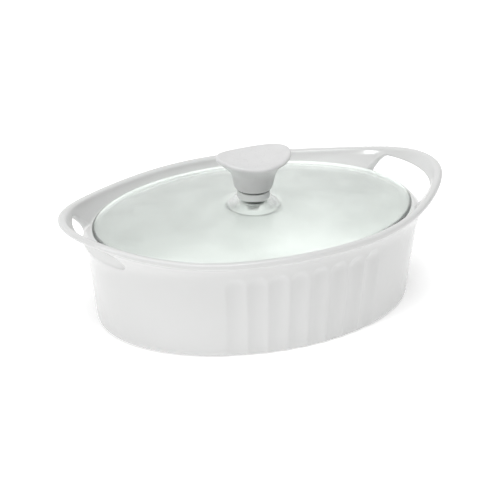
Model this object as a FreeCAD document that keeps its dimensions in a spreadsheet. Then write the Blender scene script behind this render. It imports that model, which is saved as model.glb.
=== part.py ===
"""Covered oval casserole: a glazed stoneware dish with two flared loop handles, and a glass lid with a screwed-on knob.

Frame: +X runs along the dish's long axis, +Z is up, and the origin is under the dish's centre, on the plane that its
foot stands on. All sizes are in millimetres. Every size is a named cell of the sheet, which drives the shapes.
"""

import FreeCAD
import Part
import math
import os

from FreeCAD import Vector

Z_AXIS = Vector(0, 0, 1)

# How close an edge lies to where it is looked for, in millimetres.
NEAR = 0.5

doc = FreeCAD.newDocument("Casserole")
sheet = doc.addObject("Spreadsheet::Sheet", "Sizes")

SIZES = {
    # dish
    "foot_round": 6.0,
    "foot_recess": 1.6,
    "foot_recess_half_length": 115.0,
    "foot_recess_half_width": 80.0,
    "cavity_round": 13.0,
    "rim_mid_height": 85.4,
    "rim_wave_2": -7.2,
    "rim_wave_4": 26.8,
    "rim_wave_10": -8.0,
    "rim_half_length": 166.0,
    "rim_reach": 190.0,
    "lip_overhang": 1.3,
    "lip_height": 5.2,
    "lip_top_round": 2.2,
    "lip_low_round": 0.9,
    "seat_round": 1.5,
    # fluted panels
    "flute_count": 8,
    "flute_pitch": 16.3,
    "flute_radius": 22.0,
    "flute_depth": 1.75,
    "flute_low": -10.0,
    "flute_high": 61.0,
    # handle openings
    "slot_width": 83.0,
    "slot_low": 69.5,
    "slot_top": 87.6,
    "slot_corner": 6.0,
    "sill_drop": 12.0,
    "sill_inset": 0.2,
    "slot_reach": 200.0,
    # glass lid
    "lid_seat": 75.1,
    "lid_half_length": 133.4,
    "lid_half_width": 96.4,
    "lid_edge_thick": 4.4,
    "lid_edge_round": 1.5,
    "dome_half_length": 127.4,
    "dome_half_width": 90.6,
    "dome_hollow_half_length": 121.4,
    "dome_hollow_half_width": 84.8,
    "dome_height": 86.4,
    "dome_thick": 4.2,
    "dome_radius_up": 22.6,
    "dome_radius_long": 180.0,
    "dome_radius_wide": 128.8,
    "boss_radius": 13.8,
    "boss_foot_radius": 23.5,
    "boss_low": 84.4,
    "boss_top": 92.4,
    "boss_flare": 10.0,
    "boss_recess_radius": 9.6,
    "boss_recess_low": 80.8,
    "boss_recess_foot_radius": 19.5,
    "boss_web": 4.4,
    "screw_hole_radius": 3.0,
    # knob and its fixings
    "collar_radius": 13.0,
    "collar_thick": 5.8,
    "ferrule_radius": 11.4,
    "ferrule_thick": 1.2,
    "cap_half_length": 31.0,
    "cap_half_width": 24.5,
    "cap_tip_height": 129.8,
    "cap_dip": 5.0,
    "cap_blank_low": 105.0,
    "cap_blank_height": 40.0,
    "cap_thick": 4.0,
    "cap_edge_round": 1.7,
    "knob_foot_round": 3.0,
    "insert_radius": 4.2,
    "insert_length": 10.0,
    "pocket_relief": 0.5,
    "screw_radius": 2.45,
    "screw_length": 22.0,
    "screw_head_radius": 4.8,
    "screw_head_thick": 3.0,
    "screw_socket_radius": 2.0,
    "screw_socket_depth": 1.8,
    "screw_head_round": 0.8,
    "washer_radius": 7.6,
    "washer_thick": 1.0,
    "gasket_radius": 8.8,
    "gasket_thick": 1.4,
    "running_gap": 0.05,
    # how far a cutting shape runs past what it cuts
    "overrun": 4.0,
}

# Horizontal sections, bottom to top: height, half length, half width.
SECTIONS = {
    "outer": [
        (0, 129.5, 94.6),
        (20, 132.0, 96.2),
        (40, 134.8, 97.9),
        (60, 138.2, 99.8),
        (75, 143.8, 102.5),
        (85, 153.0, 104.4),
        (91, 159.6, 100.0),
        (98, 166.4, 90.5),
        (105, 172.0, 80.5),
    ],
    "wing": [
        (75.1, 136.4, 98.0),
        (80, 140.8, 98.8),
        (85, 146.6, 99.4),
        (91, 153.0, 95.0),
        (98, 160.0, 85.5),
        (105, 166.0, 75.5),
    ],
    "cavity": [
        (7, 122.5, 87.8),
        (40, 128.0, 91.0),
        (76, 130.2, 92.6),
    ],
    "stem": [
        (99.4, 14.4, 14.4),
        (103, 15.6, 15.6),
        (108, 16.7, 16.6),
        (113, 18.2, 17.8),
        (117.5, 21.2, 19.8),
        (121.5, 25.8, 22.0),
        (125, 29.8, 23.8),
    ],
}


def fill_sheet():
    """Writes every size and section as a named cell of the sheet."""
    cells = dict(SIZES)
    for name, sections in SECTIONS.items():
        for number, values in enumerate(sections, 1):
            for word, value in zip(("height", "half_length", "half_width"), values):
                cells[f"{name}_{word}_{number}"] = value
    for row, (alias, value) in enumerate(cells.items(), 1):
        sheet.set(f"A{row}", alias)
        sheet.set(f"B{row}", str(value))
        sheet.setAlias(f"B{row}", alias)
    doc.recompute()


def size(alias):
    """The value of a named cell."""
    return float(sheet.get(alias))


def add(kind, name, **expressions):
    """A document object whose properties are bound to expressions: a double underscore stands for a dot."""
    made = doc.addObject(kind, name)
    for prop, text in expressions.items():
        made.setExpression(prop.replace("__", "."), text)
    return made


def fixed(name, shape):
    """A Part::Feature that holds a shape worked out from the sheet."""
    made = doc.addObject("Part::Feature", name)
    made.Shape = shape
    return made


def cut(name, base, tool, refine=True):
    """base with tool taken away. Without refine, faces that meet smoothly stay separate."""
    made = doc.addObject("Part::Cut", name)
    made.Base, made.Tool, made.Refine = base, tool, refine
    return made


def join(name, *shapes):
    made = doc.addObject("Part::MultiFuse", name)
    made.Shapes = list(shapes)
    return made


def overlap(name, *shapes):
    made = doc.addObject("Part::MultiCommon", name)
    made.Shapes = list(shapes)
    return made


def fillet(name, base, wanted, radius):
    """Rounds the edges of base for which wanted(edge) is true."""
    doc.recompute()
    made = doc.addObject("Part::Fillet", name)
    made.Base = base
    made.Edges = [(n, radius, radius) for n, edge in enumerate(base.Shape.Edges, 1) if wanted(edge)]
    return made


def finish(obj, node):
    """Names a finished sub-part."""
    obj.Label = node
    nodes.append(obj)
    return obj


def oval_loft(name, label=None, first=1, grow="0"):
    """A solid lofted through the sheet's numbered sections of that name, from first upwards, each larger by grow."""
    label = label or name
    made = doc.addObject("Part::Loft", f"{label}_loft")
    made.Sections = [
        add(
            "Part::Ellipse",
            f"{label}_section_{n}",
            MajorRadius=f"Sizes.{name}_half_length_{n} + {grow}",
            MinorRadius=f"Sizes.{name}_half_width_{n} + {grow}",
            Placement__Base__z=f"Sizes.{name}_height_{n}",
        )
        for n in range(first, len(SECTIONS[name]) + 1)
    ]
    made.Solid, made.Ruled = True, False
    return made


def oval_prism(name, half_length, half_width, low, height):
    """An upright elliptical prism."""
    base = add(
        "Part::Ellipse",
        f"{name}_outline",
        MajorRadius=half_length,
        MinorRadius=half_width,
        Placement__Base__z=low,
    )
    made = add("Part::Extrusion", name, LengthFwd=height)
    made.Base, made.DirMode, made.Dir, made.Solid = base, "Custom", Z_AXIS, True
    return made


def disc(name, radius, low, height):
    """An upright round cylinder on the lid's axis."""
    return add("Part::Cylinder", name, Radius=radius, Height=height, Placement__Base__z=low)


def ellipsoid(name, top):
    """A flat ellipsoid whose top carries the lid's dome."""
    return add(
        "Part::Ellipsoid",
        name,
        Radius1="Sizes.dome_radius_up",
        Radius2="Sizes.dome_radius_long",
        Radius3="Sizes.dome_radius_wide",
        Placement__Base__z=f"{top} - Sizes.dome_radius_up",
    )


# Dish -------------------------------------------------------------------------------------------------------------


def rim_height(x):
    """Height of the rim's top at a distance x along the dish."""
    across = min(abs(x) / size("rim_half_length"), 1.0)
    return (
        size("rim_mid_height")
        + size("rim_wave_2") * across**2
        + size("rim_wave_4") * across**4
        + size("rim_wave_10") * across**10
    )


def rim_curve(drop):
    """The rim's profile, seen from the long side and lowered by drop, as an edge at one end of the prisms below."""
    reach, half = size("rim_reach"), size("rim_half_length")
    steps = 9
    points = [Vector(-reach, -reach, rim_height(half) - drop)]
    for n in range(-steps, steps + 1):
        x = half * math.sin(math.pi * n / steps / 2)
        points.append(Vector(x, -reach, rim_height(x) - drop))
    points.append(Vector(reach, -reach, rim_height(half) - drop))
    curve = Part.BSplineCurve()
    curve.interpolate(points)
    return curve.toShape()


def above_rim(drop):
    """Everything above the rim's profile lowered by drop."""
    reach, high = size("rim_reach"), 2 * size("rim_mid_height")
    low = rim_curve(drop)
    left, right = low.firstVertex().Point, low.lastVertex().Point
    corners = [right, Vector(reach, -reach, high), Vector(-reach, -reach, high), left]
    edges = [low] + [Part.makeLine(start, stop) for start, stop in zip(corners, corners[1:])]
    return Part.Face(Part.Wire(edges)).extrude(Vector(0, 2 * reach, 0))


def flutes():
    """Round-topped hollows side by side along both long walls, each following the wall's draft.

    They come as groups of bars and of their round tops, and no two shapes in a group touch.
    """
    radius, low, high = size("flute_radius"), size("flute_low"), size("flute_high")
    base_a, base_b = size("outer_half_length_1"), size("outer_half_width_1")
    top_a, top_b, top_z = size("outer_half_length_4"), size("outer_half_width_4"), size("outer_height_4")
    count = int(size("flute_count"))
    bars, tops = [], []
    for side in (-1, 1):
        for n in range(count):
            along = (n - (count - 1) / 2) * size("flute_pitch") / base_b
            turn = side * math.pi / 2 - along * base_b / base_a
            foot = Vector(base_a * math.cos(turn), base_b * math.sin(turn), 0)
            head = Vector(top_a * math.cos(turn), top_b * math.sin(turn), top_z)
            outward = Vector(foot.x / base_a**2, foot.y / base_b**2, 0).normalize()
            up = (head - foot).normalize()
            out = (outward - up * outward.dot(up)).normalize()
            axis = foot + out * (radius - size("flute_depth"))
            start, stop = axis + up * low, axis + up * high
            bars.append(Part.makeCylinder(radius, (stop - start).Length, start, up))
            tops.append(Part.makeSphere(radius, stop))
    apart = math.ceil(2 * radius / size("flute_pitch"))
    return [Part.makeCompound(shapes[first::apart]) for first in range(apart) for shapes in (bars, tops)]


def slot():
    """One rounded bar through both handles: it passes over the lid's seat, and its floor falls away outside it."""
    bar = add(
        "Part::Box",
        "slot_bar",
        Length="Sizes.slot_reach * 2",
        Width="Sizes.slot_width",
        Height="Sizes.slot_top - Sizes.slot_low",
        Placement__Base__x="-Sizes.slot_reach",
        Placement__Base__y="-Sizes.slot_width / 2",
        Placement__Base__z="Sizes.slot_low",
    )
    rounded = fillet("slot_rounded", bar, lambda edge: abs(edge.tangentAt(0).x) > 0.9, size("slot_corner"))
    sill = doc.addObject("Part::Loft", "sill")
    sill.Sections = [
        add(
            "Part::Ellipse",
            f"sill_section_{n}",
            MajorRadius=f"Sizes.wing_half_length_1 - Sizes.sill_inset + {drop}",
            MinorRadius=f"Sizes.wing_half_width_1 - Sizes.sill_inset + {drop}",
            Placement__Base__z=f"Sizes.lid_seat - ({drop})",
        )
        for n, drop in enumerate(("Sizes.sill_drop", "-Sizes.overrun"), 1)
    ]
    sill.Solid, sill.Ruled = True, True
    return cut("slot", rounded, sill, refine=False)


def is_rim_top(edge):
    """Whether an edge runs round the top of the rim."""
    box = edge.BoundBox
    return box.ZMin > size("rim_mid_height") - 4 * NEAR and box.YLength > size("rim_mid_height")


def is_lip_foot(edge):
    """Whether an edge runs round the outside of the lip's underside."""
    box = edge.BoundBox
    low = size("rim_mid_height") - size("lip_height")
    return abs(box.ZMin - low) < 3 * NEAR and box.YMax > size("outer_half_width_6") + size("lip_overhang") / 2


def is_seat_edge(edge):
    """Whether an edge runs round the inside of the lid's seat."""
    box = edge.BoundBox
    return abs(box.ZMin - size("lid_seat")) < NEAR and abs(box.XMax - size("cavity_half_length_3")) < NEAR


def make_dish():
    doc.recompute()
    outer = oval_loft("outer")
    rounded = fillet("outer_rounded", outer, lambda edge: edge.BoundBox.ZMax < NEAR, size("foot_round"))
    lip = overlap(
        "lip", oval_loft("outer", "lip", 4, "Sizes.lip_overhang"), fixed("above_lip", above_rim(size("lip_height")))
    )
    trimmed = cut("trimmed", join("lipped", rounded, lip), fixed("above_rim", above_rim(0)))
    hollow = fillet(
        "cavity_rounded",
        oval_loft("cavity"),
        lambda edge: edge.BoundBox.ZMax < size("cavity_height_1") + NEAR,
        size("cavity_round"),
    )
    wall = cut("wall", cut("walled", trimmed, oval_loft("wing")), hollow)
    rounded = fillet("rim_rounded", wall, is_rim_top, size("lip_top_round"))
    rounded = fillet("lip_rounded", rounded, is_lip_foot, size("lip_low_round"))
    rounded = fillet("seat_rounded", rounded, is_seat_edge, size("seat_round"))
    for number, group in enumerate(flutes(), 1):
        rounded = cut(f"fluted_{number}", rounded, fixed(f"flutes_{number}", group), refine=False)
    recess = oval_prism(
        "recess",
        "Sizes.foot_recess_half_length",
        "Sizes.foot_recess_half_width",
        "-Sizes.foot_recess",
        "Sizes.foot_recess * 2",
    )
    footed = cut("footed", rounded, recess)
    return finish(cut("dish_body", footed, slot(), refine=False), "dish")


# Glass lid --------------------------------------------------------------------------------------------------------


def make_lid_glass():
    edge = oval_prism(
        "lid_edge", "Sizes.lid_half_length", "Sizes.lid_half_width", "Sizes.lid_seat", "Sizes.lid_edge_thick"
    )
    rounded = fillet("lid_edge_rounded", edge, lambda part: True, size("lid_edge_round"))
    dome = overlap(
        "dome",
        ellipsoid("dome_outside", "Sizes.dome_height"),
        oval_prism(
            "dome_outline",
            "Sizes.dome_half_length",
            "Sizes.dome_half_width",
            "Sizes.lid_seat + Sizes.lid_edge_round",
            "Sizes.dome_height",
        ),
    )
    boss = add(
        "Part::Cone",
        "boss",
        Radius1="Sizes.boss_foot_radius",
        Radius2="Sizes.boss_radius",
        Height="Sizes.boss_top - Sizes.boss_low",
        Placement__Base__z="Sizes.boss_low",
    )
    solid = join("lid_solid", rounded, dome, boss)
    flared = fillet("lid_flared", solid, at_boss_foot, size("boss_flare"))
    hollow = overlap(
        "dome_hollow",
        ellipsoid("dome_inside", "(Sizes.dome_height - Sizes.dome_thick)"),
        oval_prism(
            "hollow_outline",
            "Sizes.dome_hollow_half_length",
            "Sizes.dome_hollow_half_width",
            "Sizes.lid_seat - Sizes.overrun",
            "Sizes.dome_height",
        ),
    )
    recess = add(
        "Part::Cone",
        "boss_recess",
        Radius1="Sizes.boss_recess_foot_radius",
        Radius2="Sizes.boss_recess_radius",
        Height="Sizes.boss_top - Sizes.boss_web - Sizes.boss_recess_low",
        Placement__Base__z="Sizes.boss_recess_low",
    )
    hole = disc("screw_hole", "Sizes.screw_hole_radius", "Sizes.lid_seat", "Sizes.boss_top")
    return finish(cut("glass_body", flared, join("glass_voids", hollow, recess, hole)), "lid_glass")


def at_boss_foot(edge):
    """Whether an edge is the round one where the boss meets the dome."""
    box = edge.BoundBox
    least, most = 2 * size("boss_radius"), 2 * size("boss_foot_radius") + NEAR
    return least + NEAR < box.XLength < most and box.ZMin > size("boss_low")


# Knob and its fixings, from the top down --------------------------------------------------------------------------


def cap_band():
    """The cap's saddle: a plate of even thickness that dips across its middle, seen from the long side."""
    half, dip, thick = size("cap_half_length") + size("overrun"), size("cap_dip"), size("cap_thick")
    tip, reach = size("cap_tip_height"), size("cap_half_width") + size("overrun")
    heights = []
    for share in (-1, -0.6, -0.3, 0, 0.3, 0.6, 1):
        x = share * half
        heights.append(Vector(x, -reach, tip - dip + dip * (x / size("cap_half_length")) ** 2))
    top = Part.BSplineCurve()
    top.interpolate(heights)
    low = Part.BSplineCurve()
    low.interpolate([spot - Z_AXIS * thick for spot in heights])
    first, last = heights[0], heights[-1]
    edges = [
        top.toShape(),
        Part.makeLine(last, last - Z_AXIS * thick),
        low.toShape(),
        Part.makeLine(first - Z_AXIS * thick, first),
    ]
    return Part.Face(Part.Wire(Part.__sortEdges__(edges))).extrude(Vector(0, 2 * reach, 0))


def make_knob():
    outline = oval_prism("cap_outline", "Sizes.cap_half_length", "Sizes.cap_half_width", "Sizes.cap_blank_low",
                          "Sizes.cap_blank_height")
    plate = overlap("cap_plate", outline, fixed("cap_band", cap_band()))
    plate = fillet("cap", plate, lambda edge: True, size("cap_edge_round"))
    stem = fillet(
        "stem",
        oval_loft("stem"),
        lambda edge: edge.BoundBox.ZMax < size("stem_height_1") + NEAR,
        size("knob_foot_round"),
    )
    doc.recompute()
    band = cap_band()
    band.translate(Z_AXIS * size("cap_thick") / 2)
    shortened = cut("stem_short", stem, fixed("over_stem", band))
    solid = join("knob_solid", plate, shortened)
    pocket = disc(
        "insert_pocket",
        "Sizes.insert_radius + Sizes.running_gap",
        "Sizes.stem_height_1 - Sizes.overrun",
        "Sizes.insert_length + Sizes.overrun + Sizes.pocket_relief",
    )
    return finish(cut("knob_body", solid, pocket), "knob")


def ring(name, radius, bore, low, height):
    """A flat ring: a disc with a bore."""
    plate = disc(f"{name}_plate", radius, low, height)
    hole = disc(f"{name}_bore", bore, f"{low} - Sizes.overrun", f"{height} + 2 * Sizes.overrun")
    return cut(f"{name}_body", plate, hole)


def is_screw_head_foot(edge):
    """Whether an edge runs round the lower end of the screw's head."""
    washer_low = size("boss_top") - size("boss_web") - size("gasket_thick") - size("washer_thick")
    return edge.BoundBox.ZMax < washer_low - size("screw_head_thick") + NEAR


def make_fixings():
    screw_room = "Sizes.screw_hole_radius"
    web_low = "(Sizes.boss_top - Sizes.boss_web)"
    finish(
        ring("insert", "Sizes.insert_radius", "Sizes.screw_radius + Sizes.running_gap", "Sizes.stem_height_1",
             "Sizes.insert_length"),
        "knob_insert",
    )
    finish(
        ring("ferrule", "Sizes.ferrule_radius", screw_room, "(Sizes.boss_top + Sizes.collar_thick)",
             "Sizes.ferrule_thick"),
        "knob_ferrule",
    )
    finish(ring("collar", "Sizes.collar_radius", screw_room, "Sizes.boss_top", "Sizes.collar_thick"), "knob_collar")
    finish(
        ring("gasket", "Sizes.gasket_radius", screw_room, f"({web_low} - Sizes.gasket_thick)", "Sizes.gasket_thick"),
        "lid_gasket",
    )
    washer_low = f"({web_low} - Sizes.gasket_thick - Sizes.washer_thick)"
    finish(ring("washer", "Sizes.washer_radius", screw_room, washer_low, "Sizes.washer_thick"), "screw_washer")
    head = disc("screw_head", "Sizes.screw_head_radius", f"{washer_low} - Sizes.screw_head_thick",
                "Sizes.screw_head_thick")
    head = fillet("screw_head_rounded", head, is_screw_head_foot, size("screw_head_round"))
    shank = disc("screw_shank", "Sizes.screw_radius", washer_low, "Sizes.screw_length")
    socket = add(
        "Part::Prism",
        "screw_socket",
        Polygon="6",
        Circumradius="Sizes.screw_socket_radius",
        Height="Sizes.screw_socket_depth + Sizes.overrun",
        Placement__Base__z=f"{washer_low} - Sizes.screw_head_thick - Sizes.overrun",
    )
    finish(cut("screw_body", join("screw_solid", head, shank), socket), "knob_screw")


def check_and_export():
    """Refuses any invalid feature, then writes each sub-part as parts/NODE.step."""
    for obj in doc.Objects:
        if "Invalid" in obj.State or "Error" in obj.State:
            raise RuntimeError(f"{obj.Name} is not valid")
        if hasattr(obj, "Shape") and (obj.Shape.isNull() or not obj.Shape.isValid()):
            raise RuntimeError(f"{obj.Name} has a bad shape")
    os.makedirs("parts", exist_ok=True)
    for obj in nodes:
        if len(obj.Shape.Solids) != 1:
            raise RuntimeError(f"{obj.Label} is not one solid")
        obj.Shape.exportStep(f"parts/{obj.Label}.step")
        print(obj.Label, round(obj.Shape.Volume), "mm3", obj.Shape.BoundBox)


nodes = []
fill_sheet()
make_dish()
make_lid_glass()
make_knob()
make_fixings()
doc.recompute()
check_and_export()
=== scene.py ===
"""Looks of the covered casserole: a glazed stoneware dish and a clear glass lid with its knob, on a floor."""

import math

import bmesh
import bpy
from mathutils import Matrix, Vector


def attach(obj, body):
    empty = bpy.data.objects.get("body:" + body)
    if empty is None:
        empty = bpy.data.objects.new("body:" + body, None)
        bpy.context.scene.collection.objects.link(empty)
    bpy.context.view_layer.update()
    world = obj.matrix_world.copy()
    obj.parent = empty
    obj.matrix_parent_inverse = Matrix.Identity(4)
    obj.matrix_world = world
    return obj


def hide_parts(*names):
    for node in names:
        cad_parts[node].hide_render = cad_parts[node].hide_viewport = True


MM = 0.001

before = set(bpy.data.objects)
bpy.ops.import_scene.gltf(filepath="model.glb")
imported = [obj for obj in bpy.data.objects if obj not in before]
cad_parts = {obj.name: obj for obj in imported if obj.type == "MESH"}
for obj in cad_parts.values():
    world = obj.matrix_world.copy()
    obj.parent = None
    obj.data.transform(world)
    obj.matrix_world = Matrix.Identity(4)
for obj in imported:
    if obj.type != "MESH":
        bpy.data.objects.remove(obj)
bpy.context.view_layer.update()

GLASS_TINT = (0.965, 0.99, 0.975)
STUDIO_WHITE = (1, 1, 1, 1)
FLOOR_GLOW = 0.3
SKY_GLOW = 0.3

# What the lamps and the camera point at, in metres.
LAMP_AIM = (0, 0, 0.05)
CAMERA_AIM = (0, 0, 0.055)

# Sizes of the glass lid as it is drawn here, in millimetres. Its edge and its hollow are softer than
# in CAD.
# The edge turns over between two angles, in degrees above level.
EDGE = {"half": (133.4, 96.4), "low": 75.1, "high": 79.5, "roll": 4.0, "turn": (80, -90)}
DOME = {"half": (127.4, 90.6), "top": 86.4, "radii": (22.6, 180.0, 128.8)}
HOLLOW = {"half": (125.0, 88.4), "top": 82.2, "margin": 1.0}

# The boss: its rounded rim as steps out and up from its top edge, its side, and its flare to the dome.
BOSS = {"top": 92.4, "radius": 13.8, "rim": ((-1.4, 0.0), (-0.35, -0.12), (0.35, -0.55))}
SIDE = {"inset": 2.0, "slope": 8 / 9.7}
FLARE = {"start": (18.7, 88.36), "pull": (21.4, 86.1), "end": 25.0}

# The hollow inside the boss, the rounds at its foot and its top, and the screw's hole.
RECESS = {"top": 88.0, "radius": 9.6, "foot": (19.5, 80.8)}
RECESS_ROUND = {"foot": 1.6, "outer": 0.7, "inner": 0.9}
HOLE = 3.0

# How finely the glass is divided.
STEPS = {"around": 192, "flare": 8, "dome": 24, "edge": 14}


# Node helpers -------------------------------------------------------------------------------------

class Shader:
    """A node material under construction, ending in one Principled surface."""

    def __init__(self, name, color, roughness, **sockets):
        self.material = bpy.data.materials.new(name)
        self.material.use_nodes = True
        self.nodes = self.material.node_tree.nodes
        self.links = self.material.node_tree.links
        self.surface = self.nodes["Principled BSDF"]
        self.surface.inputs["Base Color"].default_value = (*color, 1)
        self.surface.inputs["Roughness"].default_value = roughness
        for socket, value in sockets.items():
            self.surface.inputs[socket.replace("_", " ")].default_value = value
        self.place = self.node("ShaderNodeTexCoord").outputs["Object"]

    def node(self, kind, **settings):
        made = self.nodes.new(kind)
        for name, value in settings.items():
            setattr(made, name, value)
        return made

    def link(self, source, target):
        self.links.new(source, target)

    def noise(self, scale, detail=3.0, rough=0.5, stretch=None):
        """A noise value from 0 to 1 at the given number of cells per metre."""
        made = self.node("ShaderNodeTexNoise")
        made.inputs["Scale"].default_value = scale
        made.inputs["Detail"].default_value = detail
        made.inputs["Roughness"].default_value = rough
        spot = self.place
        if stretch:
            mapping = self.node("ShaderNodeMapping")
            mapping.inputs["Scale"].default_value = stretch
            self.link(spot, mapping.inputs["Vector"])
            spot = mapping.outputs["Vector"]
        self.link(spot, made.inputs["Vector"])
        return made.outputs["Fac"]

    def between(self, value, low, high, to_low=0.0, to_high=1.0):
        """Maps value from low..high to to_low..to_high."""
        made = self.node("ShaderNodeMapRange")
        self.link(value, made.inputs["Value"])
        limits = {"From Min": low, "From Max": high, "To Min": to_low, "To Max": to_high}
        for name, number in limits.items():
            made.inputs[name].default_value = number
        return made.outputs["Result"]

    def mix(self, share, first, second):
        """A colour between first and second, by share."""
        made = self.node("ShaderNodeMix", data_type="RGBA")
        self.link(share, made.inputs["Factor"])
        for socket, value in ((made.inputs[6], first), (made.inputs[7], second)):
            if isinstance(value, bpy.types.NodeSocket):
                self.link(value, socket)
            else:
                socket.default_value = (*value, 1)
        return made.outputs[2]

    def height(self):
        """Height above the floor, in metres."""
        split = self.node("ShaderNodeSeparateXYZ")
        self.link(self.place, split.inputs["Vector"])
        return split.outputs["Z"]

    def set(self, socket, value):
        self.link(value, self.surface.inputs[socket])

    def bump(self, *layers):
        """Bumps the surface by layers of (value, depth in metres)."""
        normal = None
        for value, depth in layers:
            made = self.node("ShaderNodeBump")
            made.inputs["Distance"].default_value = depth
            self.link(value, made.inputs["Height"])
            if normal:
                self.link(normal, made.inputs["Normal"])
            normal = made.outputs["Normal"]
        self.set("Normal", normal)


# Materials ----------------------------------------------------------------------------------------

def glaze():
    """White glaze over stoneware: slightly uneven, and bare on the foot's ring."""
    made = Shader("white_glaze", (0.8, 0.8, 0.79), 0.2, Coat_Weight=0.25, Coat_Roughness=0.06)
    cloud = made.between(made.noise(14, 4), 0.3, 0.7)
    white = made.mix(cloud, (0.725, 0.728, 0.725), (0.70, 0.703, 0.697))
    bare = made.between(made.height(), 0.1 * MM, 0.3 * MM, 1, 0)
    made.set("Base Color", made.mix(bare, white, (0.66, 0.63, 0.58)))
    sheen = made.between(made.noise(60, 3), 0.3, 0.7, 0.16, 0.26)
    rough = made.node("ShaderNodeMath", operation="MAXIMUM")
    made.link(sheen, rough.inputs[0])
    made.link(bare, rough.inputs[1])
    made.set("Roughness", rough.outputs[0])
    made.bump((made.noise(35, 2), 0.25 * MM), (made.noise(420, 2), 0.012 * MM))
    return made.material


def clear_glass():
    """Faintly green pressed glass whose faces wander a little. It lets lamp light through to the dish."""
    made = Shader("lid_glass", GLASS_TINT, 0.15, Transmission_Weight=1.0, IOR=1.45)
    made.set("Roughness", made.between(made.noise(30, 2), 0.3, 0.7, 0.18, 0.26))
    made.bump((made.noise(18, 2), 0.05 * MM))
    open_way = made.node("ShaderNodeBsdfTransparent")
    open_way.inputs["Color"].default_value = (*GLASS_TINT, 1)
    path = made.node("ShaderNodeLightPath")
    blend = made.node("ShaderNodeMixShader")
    made.link(path.outputs["Is Shadow Ray"], blend.inputs[0])
    made.link(made.surface.outputs[0], blend.inputs[1])
    made.link(open_way.outputs[0], blend.inputs[2])
    made.link(blend.outputs[0], made.nodes["Material Output"].inputs["Surface"])
    return made.material


def moulded(name, color, roughness, grain=0.03):
    """Moulded plastic with a fine satin grain."""
    made = Shader(name, color, roughness, Coat_Weight=0.1, Coat_Roughness=0.15)
    darker = tuple(0.96 * c for c in color)
    made.set("Base Color", made.mix(made.between(made.noise(80, 3), 0.35, 0.65), color, darker))
    made.set("Roughness", made.between(made.noise(900, 2), 0.3, 0.7, roughness - grain, roughness + grain))
    made.bump((made.noise(2600, 2), 0.008 * MM))
    return made.material


def metal(name, color, roughness):
    """Turned metal: fine rings about the lid's axis."""
    made = Shader(name, color, roughness, Metallic=1.0)
    lathe = made.noise(900, 2, stretch=(0.06, 0.06, 4))
    made.set("Roughness", made.between(lathe, 0.3, 0.7, roughness * 0.7, roughness * 1.4))
    made.bump((lathe, 0.015 * MM))
    return made.material


def rubber(name, color):
    """Matt rubber or silicone."""
    made = Shader(name, color, 0.6)
    made.set("Roughness", made.between(made.noise(500, 2), 0.3, 0.7, 0.5, 0.7))
    made.bump((made.noise(1500, 2), 0.01 * MM))
    return made.material


# Mesh helpers -------------------------------------------------------------------------------------

def dress(obj, material):
    obj.data.materials.clear()
    obj.data.materials.append(material)
    for face in obj.data.polygons:
        face.material_index = 0
        face.use_smooth = True


def stand_in(obj, body, node, material):
    """obj stands in for a CAD node: it joins the node's body, the node is hidden, and obj gets the material.
    """
    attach(obj, body)
    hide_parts(node)
    dress(obj, material)
    return obj


def softened(node, name, voxel, rounds):
    """A copy of a CAD node with its edges melted to soft rounds: evenly remeshed, then relaxed."""
    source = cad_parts[node]
    rough = bpy.data.objects.new(name + "_rough", source.data.copy())
    bpy.context.scene.collection.objects.link(rough)
    remesh = rough.modifiers.new("even", "REMESH")
    remesh.mode = "VOXEL"
    remesh.voxel_size = voxel
    relax = rough.modifiers.new("relax", "SMOOTH")
    relax.factor = 0.5
    relax.iterations = rounds
    graph = bpy.context.evaluated_depsgraph_get()
    mesh = bpy.data.meshes.new_from_object(rough.evaluated_get(graph))
    bpy.data.objects.remove(rough)
    made = bpy.data.objects.new(name, mesh)
    bpy.context.scene.collection.objects.link(made)
    return made


def carried(node, material, edge=0.0):
    """A CAD node that is shown as it is, with its edges eased."""
    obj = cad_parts[node]
    dress(obj, material)
    if edge:
        weld = obj.modifiers.new("weld", "WELD")
        weld.merge_threshold = 0.002 * MM
        bevel = obj.modifiers.new("ease", "BEVEL")
        bevel.width = edge
        bevel.segments = 3
        bevel.limit_method = "ANGLE"
        bevel.angle_limit = math.radians(40)
        bevel.harden_normals = False
    return obj


# Pieces -------------------------------------------------------------------------------------------

def make_dish():
    made = softened("dish", "dish_glazed", 0.9 * MM, 4)
    return stand_in(made, "dish", "dish", glaze())


def make_knob():
    made = softened("knob", "knob_shell", 0.45 * MM, 5)
    return stand_in(made, "lid", "knob", moulded("knob_white", (0.72, 0.72, 0.72), 0.3))


def dome_height(x, y, top):
    """Height of the lid's flat ellipsoid at a place, in millimetres."""
    up, along, across = DOME["radii"]
    return top - up + up * math.sqrt(max(0.0, 1 - (x / along) ** 2 - (y / across) ** 2))


def even(start, stop, steps):
    return [start + (stop - start) * n / steps for n in range(steps + 1)]


def circle(radius, height):
    """A round ring, as two equal half sizes and its height."""
    return radius, radius, height


def dome_rings(inner, half, top, shares):
    """Rings on a dome, each a share of the way from a circle of the inner radius to an ellipse."""
    rings = []
    for t in shares:
        rings.append((inner + (half[0] - inner) * t, inner + (half[1] - inner) * t, ("dome", top)))
    return rings


def edge_turn():
    """Rings that roll from the dome over the lid's edge and under it: half sizes and height."""
    fall = (EDGE["high"] - EDGE["low"]) / 2
    level = EDGE["low"] + fall
    first, last = EDGE["turn"]
    rings = []
    for turn in even(math.radians(first), math.radians(last), STEPS["edge"]):
        out = EDGE["roll"] * (math.cos(turn) - 1)
        rings.append((EDGE["half"][0] + out, EDGE["half"][1] + out, level + fall * math.sin(turn)))
    return rings


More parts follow.
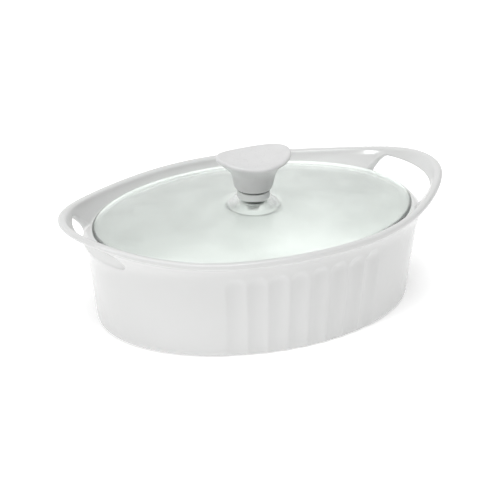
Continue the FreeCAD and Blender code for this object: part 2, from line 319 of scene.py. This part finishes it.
def flare():
    """Circles along the curve that bends from the boss's side into the dome, up to the dome's first ring."""
    (r0, z0), (r1, z1), r2 = FLARE["start"], FLARE["pull"], FLARE["end"]
    z2 = dome_height(r2, 0, DOME["top"])
    rings = []
    for t in even(0, 1, STEPS["flare"])[:-1]:
        radius = (1 - t) ** 2 * r0 + 2 * t * (1 - t) * r1 + t * t * r2
        height = (1 - t) ** 2 * z0 + 2 * t * (1 - t) * z1 + t * t * z2
        rings.append(circle(radius, height))
    return rings


def recess():
    """Circles up the inside of the boss, from the hollow's dome to the flat round the hole."""
    foot, foot_height = RECESS["foot"]
    wall, top = RECESS["radius"], RECESS["top"]
    slope = (top - foot_height) / (foot - wall)
    return [
        circle(foot - RECESS_ROUND["foot"], foot_height + RECESS_ROUND["foot"] * slope),
        circle(wall + RECESS_ROUND["outer"], top - RECESS_ROUND["outer"] * slope),
        circle(wall - RECESS_ROUND["inner"], top),
    ]


def lid_rings():
    """The lid's section as rings from the hole's foot, over the top and round underneath, back to the hole.

    A ring is its half length, its half width, and a height in millimetres or a dome's top that it follows.
    """
    rings = [circle(HOLE, RECESS["top"]), circle(HOLE, BOSS["top"])]
    rings += [circle(BOSS["radius"] + out, BOSS["top"] + up) for out, up in BOSS["rim"]]
    side_radius, side_height = FLARE["start"]
    rings.append(circle(side_radius - SIDE["inset"], side_height + SIDE["inset"] * SIDE["slope"]))
    rings += flare()
    rings += dome_rings(FLARE["end"], DOME["half"], DOME["top"], even(0, 1, STEPS["dome"]))
    rings += edge_turn()
    inner = RECESS["foot"][0] + HOLLOW["margin"]
    rings += dome_rings(inner, HOLLOW["half"], HOLLOW["top"], even(1, 0, STEPS["dome"]))
    rings += recess()
    return rings


def make_lid():
    """The glass as one smooth skin of rings, ellipses outside and circles at the boss."""
    around = STEPS["around"]
    shape = bmesh.new()
    rows = []
    for half_x, half_y, level in lid_rings():
        row = []
        for n in range(around):
            turn = 2 * math.pi * n / around
            x, y = half_x * math.cos(turn), half_y * math.sin(turn)
            z = dome_height(x, y, level[1]) if isinstance(level, tuple) else level
            row.append(shape.verts.new((x * MM, y * MM, z * MM)))
        rows.append(row)
    for row, after in zip(rows, rows[1:] + rows[:1]):
        for n in range(around):
            following = (n + 1) % around
            shape.faces.new((row[n], row[following], after[following], after[n]))
    bmesh.ops.recalc_face_normals(shape, faces=shape.faces)
    mesh = bpy.data.meshes.new("lid_pane")
    shape.to_mesh(mesh)
    shape.free()
    made = bpy.data.objects.new("lid_pane", mesh)
    bpy.context.scene.collection.objects.link(made)
    return stand_in(made, "lid", "lid_glass", clear_glass())


def make_fixings():
    steel = metal("stainless", (0.62, 0.62, 0.61), 0.25)
    carried("knob_collar", moulded("collar_frosted", (0.88, 0.9, 0.885), 0.4), 0.5 * MM)
    carried("knob_ferrule", rubber("black_rubber", (0.012, 0.012, 0.012)))
    carried("lid_gasket", rubber("pale_silicone", (0.6, 0.61, 0.6)), 0.3 * MM)
    carried("screw_washer", steel, 0.15 * MM)
    carried("knob_screw", steel, 0.1 * MM)
    carried("knob_insert", metal("brass", (0.7, 0.48, 0.2), 0.3))


# Room ---------------------------------------------------------------------------------------------

def make_floor():
    """A pale floor that curves up into a wall behind."""
    mesh = bpy.data.meshes.new("floor")
    shape = bmesh.new()
    half, front, back = 6.0, -5.0, 3.0
    bend, tall = 1.0, 4.0
    profile = [(front, 0.0)]
    steps = 16
    for n in range(steps + 1):
        turn = math.pi / 2 * n / steps
        profile.append((back + bend * math.sin(turn), bend * (1 - math.cos(turn))))
    profile.append((back + bend, tall))
    rows = [[shape.verts.new((x, y, z)) for y, z in profile] for x in (-half, half)]
    for n in range(len(profile) - 1):
        face = shape.faces.new((rows[0][n], rows[1][n], rows[1][n + 1], rows[0][n + 1]))
        face.smooth = True
    shape.to_mesh(mesh)
    shape.free()
    floor = bpy.data.objects.new("floor", mesh)
    bpy.context.scene.collection.objects.link(floor)
    paint = Shader("pale_floor", (0.97, 0.97, 0.97), 0.9)
    paint.set("Roughness", paint.between(paint.noise(9, 2), 0.3, 0.7, 0.85, 0.95))
    paint.surface.inputs["Emission Color"].default_value = STUDIO_WHITE
    paint.surface.inputs["Emission Strength"].default_value = FLOOR_GLOW
    mesh.materials.append(paint.material)


def make_light(name, place, size, power):
    lamp = bpy.data.lights.new(name, "AREA")
    lamp.shape = "DISK"
    lamp.size = size
    lamp.energy = power
    obj = bpy.data.objects.new(name, lamp)
    obj.location = place
    obj.rotation_euler = (Vector(LAMP_AIM) - Vector(place)).to_track_quat("-Z", "Y").to_euler()
    bpy.context.scene.collection.objects.link(obj)


def make_sky(strength):
    world = bpy.data.worlds.new("studio")
    world.use_nodes = True
    ground = world.node_tree.nodes["Background"]
    ground.inputs["Color"].default_value = STUDIO_WHITE
    ground.inputs["Strength"].default_value = strength
    bpy.context.scene.world = world


def make_camera(azimuth, elevation, distance, lens, shift):
    """A camera to the dish's front left that looks down on its middle."""
    turn, rise = math.radians(azimuth), math.radians(elevation)
    aim = Vector(CAMERA_AIM)
    back = Vector((-math.sin(turn) * math.cos(rise), -math.cos(turn) * math.cos(rise), math.sin(rise)))
    data = bpy.data.cameras.new("camera")
    data.lens = lens
    data.sensor_width = 36
    data.shift_x, data.shift_y = shift
    data.clip_start, data.clip_end = 0.05, 50
    camera = bpy.data.objects.new("camera", data)
    camera.location = aim + back * distance
    camera.rotation_euler = (-back).to_track_quat("-Z", "Y").to_euler()
    bpy.context.scene.collection.objects.link(camera)
    bpy.context.scene.camera = camera


make_dish()
make_lid()
make_knob()
make_fixings()
make_floor()
make_sky(SKY_GLOW)
make_light("key", place=(-2.4, -0.8, 1.5), size=0.6, power=13)
make_light("overhead", place=(-0.2, -0.5, 2.3), size=2.0, power=38)
make_camera(azimuth=26, elevation=24.35, distance=2.3066, lens=208.1, shift=(-0.007, -0.0226))
bpy.context.scene.view_settings.view_transform = "Standard"
